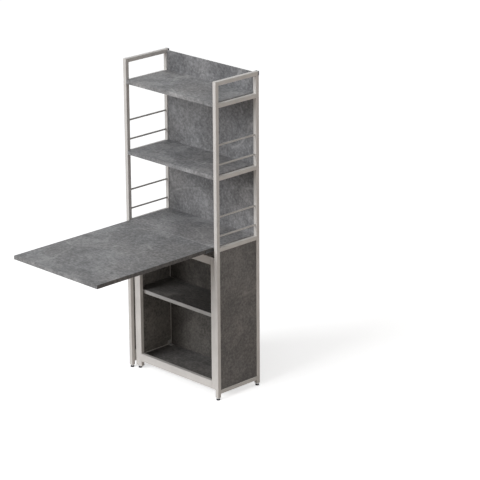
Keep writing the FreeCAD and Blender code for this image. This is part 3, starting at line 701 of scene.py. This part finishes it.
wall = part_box("left_side_panel")[1].x
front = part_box("left_front_post")[1].y + STOP_MARGIN
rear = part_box("bottom_shelf")[0].y - STOP_MARGIN
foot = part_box("left_bottom_rail")[1].z
head = foot + STOP_HEIGHT
profile = [
    (front, foot), (rear, foot), (rear, head - STOP_CORNER), (rear - STOP_CORNER, head),
    (front + STOP_CORNER, head), (front, head - STOP_CORNER),
]
faces = [[(x, y, z) for y, z in profile] for x in (wall - TRIM_SINK, wall + STOP_THICKNESS)]
join_part(as_object("gate_stop_plate", prism(*faces)), "shelf_frame", "powder_coat", COAT)
spots = [Vector((wall + STOP_THICKNESS, (front + rear) / 2, foot + height)) for height in STOP_SCREW_HEIGHTS]
screws("stop_plate_screws", FLAT_HEAD, "shelf_frame", facing_spots(spots, RIGHTWARD, STOP_TURNS))


# Studio


def seen(tree):
    """1 for the rays that show the background itself: camera, glossy and transmission rays."""
    path = tree.nodes.new("ShaderNodeLightPath")
    either = tree.nodes.new("ShaderNodeMath")
    either.operation = "MAXIMUM"
    tree.links.new(path.outputs["Is Camera Ray"], either.inputs[0])
    tree.links.new(path.outputs["Is Glossy Ray"], either.inputs[1])
    any_of = tree.nodes.new("ShaderNodeMath")
    any_of.operation = "MAXIMUM"
    tree.links.new(either.outputs["Value"], any_of.inputs[0])
    tree.links.new(path.outputs["Is Transmission Ray"], any_of.inputs[1])
    return any_of.outputs["Value"]


def make_world():
    """A white surround to look at, and an even ambient light."""
    world = bpy.data.worlds.new("studio")
    world.use_nodes = True
    tree = world.node_tree
    tree.nodes.clear()
    output = tree.nodes.new("ShaderNodeOutputWorld")
    shown = tree.nodes.new("ShaderNodeBackground")
    shown.inputs["Color"].default_value = (1, 1, 1, 1)
    lit = tree.nodes.new("ShaderNodeBackground")
    lit.inputs["Color"].default_value = (1, 1, 1, 1)
    lit.inputs["Strength"].default_value = AMBIENT
    choice = tree.nodes.new("ShaderNodeMixShader")
    tree.links.new(seen(tree), choice.inputs["Fac"])
    tree.links.new(lit.outputs["Background"], choice.inputs[1])
    tree.links.new(shown.outputs["Background"], choice.inputs[2])
    tree.links.new(choice.outputs["Shader"], output.inputs["Surface"])
    bpy.context.scene.world = world


def make_floor():
    """A pale floor that shows near white and keeps the object's soft shadow."""
    mesh = bmesh.new()
    bmesh.ops.create_grid(mesh, x_segments=FLOOR_CELLS, y_segments=FLOOR_CELLS, size=FLOOR_SIZE / 2)
    floor = as_object("studio_floor", mesh)
    material = bpy.data.materials.new("studio_floor")
    material.use_nodes = True
    tree = material.node_tree
    tree.nodes.clear()
    output = tree.nodes.new("ShaderNodeOutputMaterial")
    pale = tree.nodes.new("ShaderNodeBsdfDiffuse")
    pale.inputs["Color"].default_value = FLOOR_COLOUR
    glow = tree.nodes.new("ShaderNodeEmission")
    glow.inputs["Strength"].default_value = FLOOR_GLOW
    shown = tree.nodes.new("ShaderNodeAddShader")
    bounce = tree.nodes.new("ShaderNodeBsdfDiffuse")
    bounce.inputs["Color"].default_value = FLOOR_BOUNCE_COLOUR
    choice = tree.nodes.new("ShaderNodeMixShader")
    tree.links.new(pale.outputs["BSDF"], shown.inputs[0])
    tree.links.new(glow.outputs["Emission"], shown.inputs[1])
    tree.links.new(seen(tree), choice.inputs["Fac"])
    tree.links.new(bounce.outputs["BSDF"], choice.inputs[1])
    tree.links.new(shown.outputs["Shader"], choice.inputs[2])
    tree.links.new(choice.outputs["Shader"], output.inputs["Surface"])
    floor.data.materials.append(material)


def key_light():
    """A wide far lamp: its spread gives soft shadows, and its level is even over the whole object."""
    lamp = bpy.data.lights.new("key", "SUN")
    lamp.energy = KEY_LEVEL * math.pi
    lamp.angle = KEY_SPREAD
    lamp.color = KEY_COLOUR
    obj = bpy.data.objects.new("key", lamp)
    obj.location = AIM_POINT + KEY_DIRECTION
    obj.rotation_euler = KEY_DIRECTION.to_track_quat("Z", "Y").to_euler()
    bpy.context.scene.collection.objects.link(obj)


def area_light(name, level, colour, direction):
    """A square soft light whose level is what a white surface facing it returns."""
    lamp = bpy.data.lights.new(name, "AREA")
    lamp.shape = "SQUARE"
    lamp.size = LAMP_SIZE
    lamp.color = colour
    lamp.energy = level * (math.pi * LAMP_DISTANCE) ** 2
    obj = bpy.data.objects.new(name, lamp)
    obj.location = AIM_POINT + direction.normalized() * LAMP_DISTANCE
    obj.rotation_euler = direction.to_track_quat("Z", "Y").to_euler()
    bpy.context.scene.collection.objects.link(obj)


def make_camera():
    """The photograph's camera."""
    lens = bpy.data.cameras.new("camera")
    lens.lens = CAMERA_LENS
    lens.sensor_width = CAMERA_SENSOR
    camera = bpy.data.objects.new("camera", lens)
    look = (CAMERA_AIM - CAMERA_PLACE).to_track_quat("-Z", "Y").to_matrix().to_4x4()
    camera.matrix_world = Matrix.Translation(CAMERA_PLACE) @ look @ Matrix.Rotation(CAMERA_ROLL, 4, "Z")
    bpy.context.scene.collection.objects.link(camera)
    bpy.context.scene.camera = camera


make_world()
make_floor()
key_light()
area_light("top", TOP_LEVEL, TOP_COLOUR, TOP_DIRECTION)
area_light("back", BACK_LEVEL, FILL_COLOUR, BACK_DIRECTION)
area_light("fill", FILL_LEVEL, FILL_COLOUR, FILL_DIRECTION)
make_camera()
bpy.context.scene.view_settings.view_transform = "Standard"

bpy.context.view_layer.update()
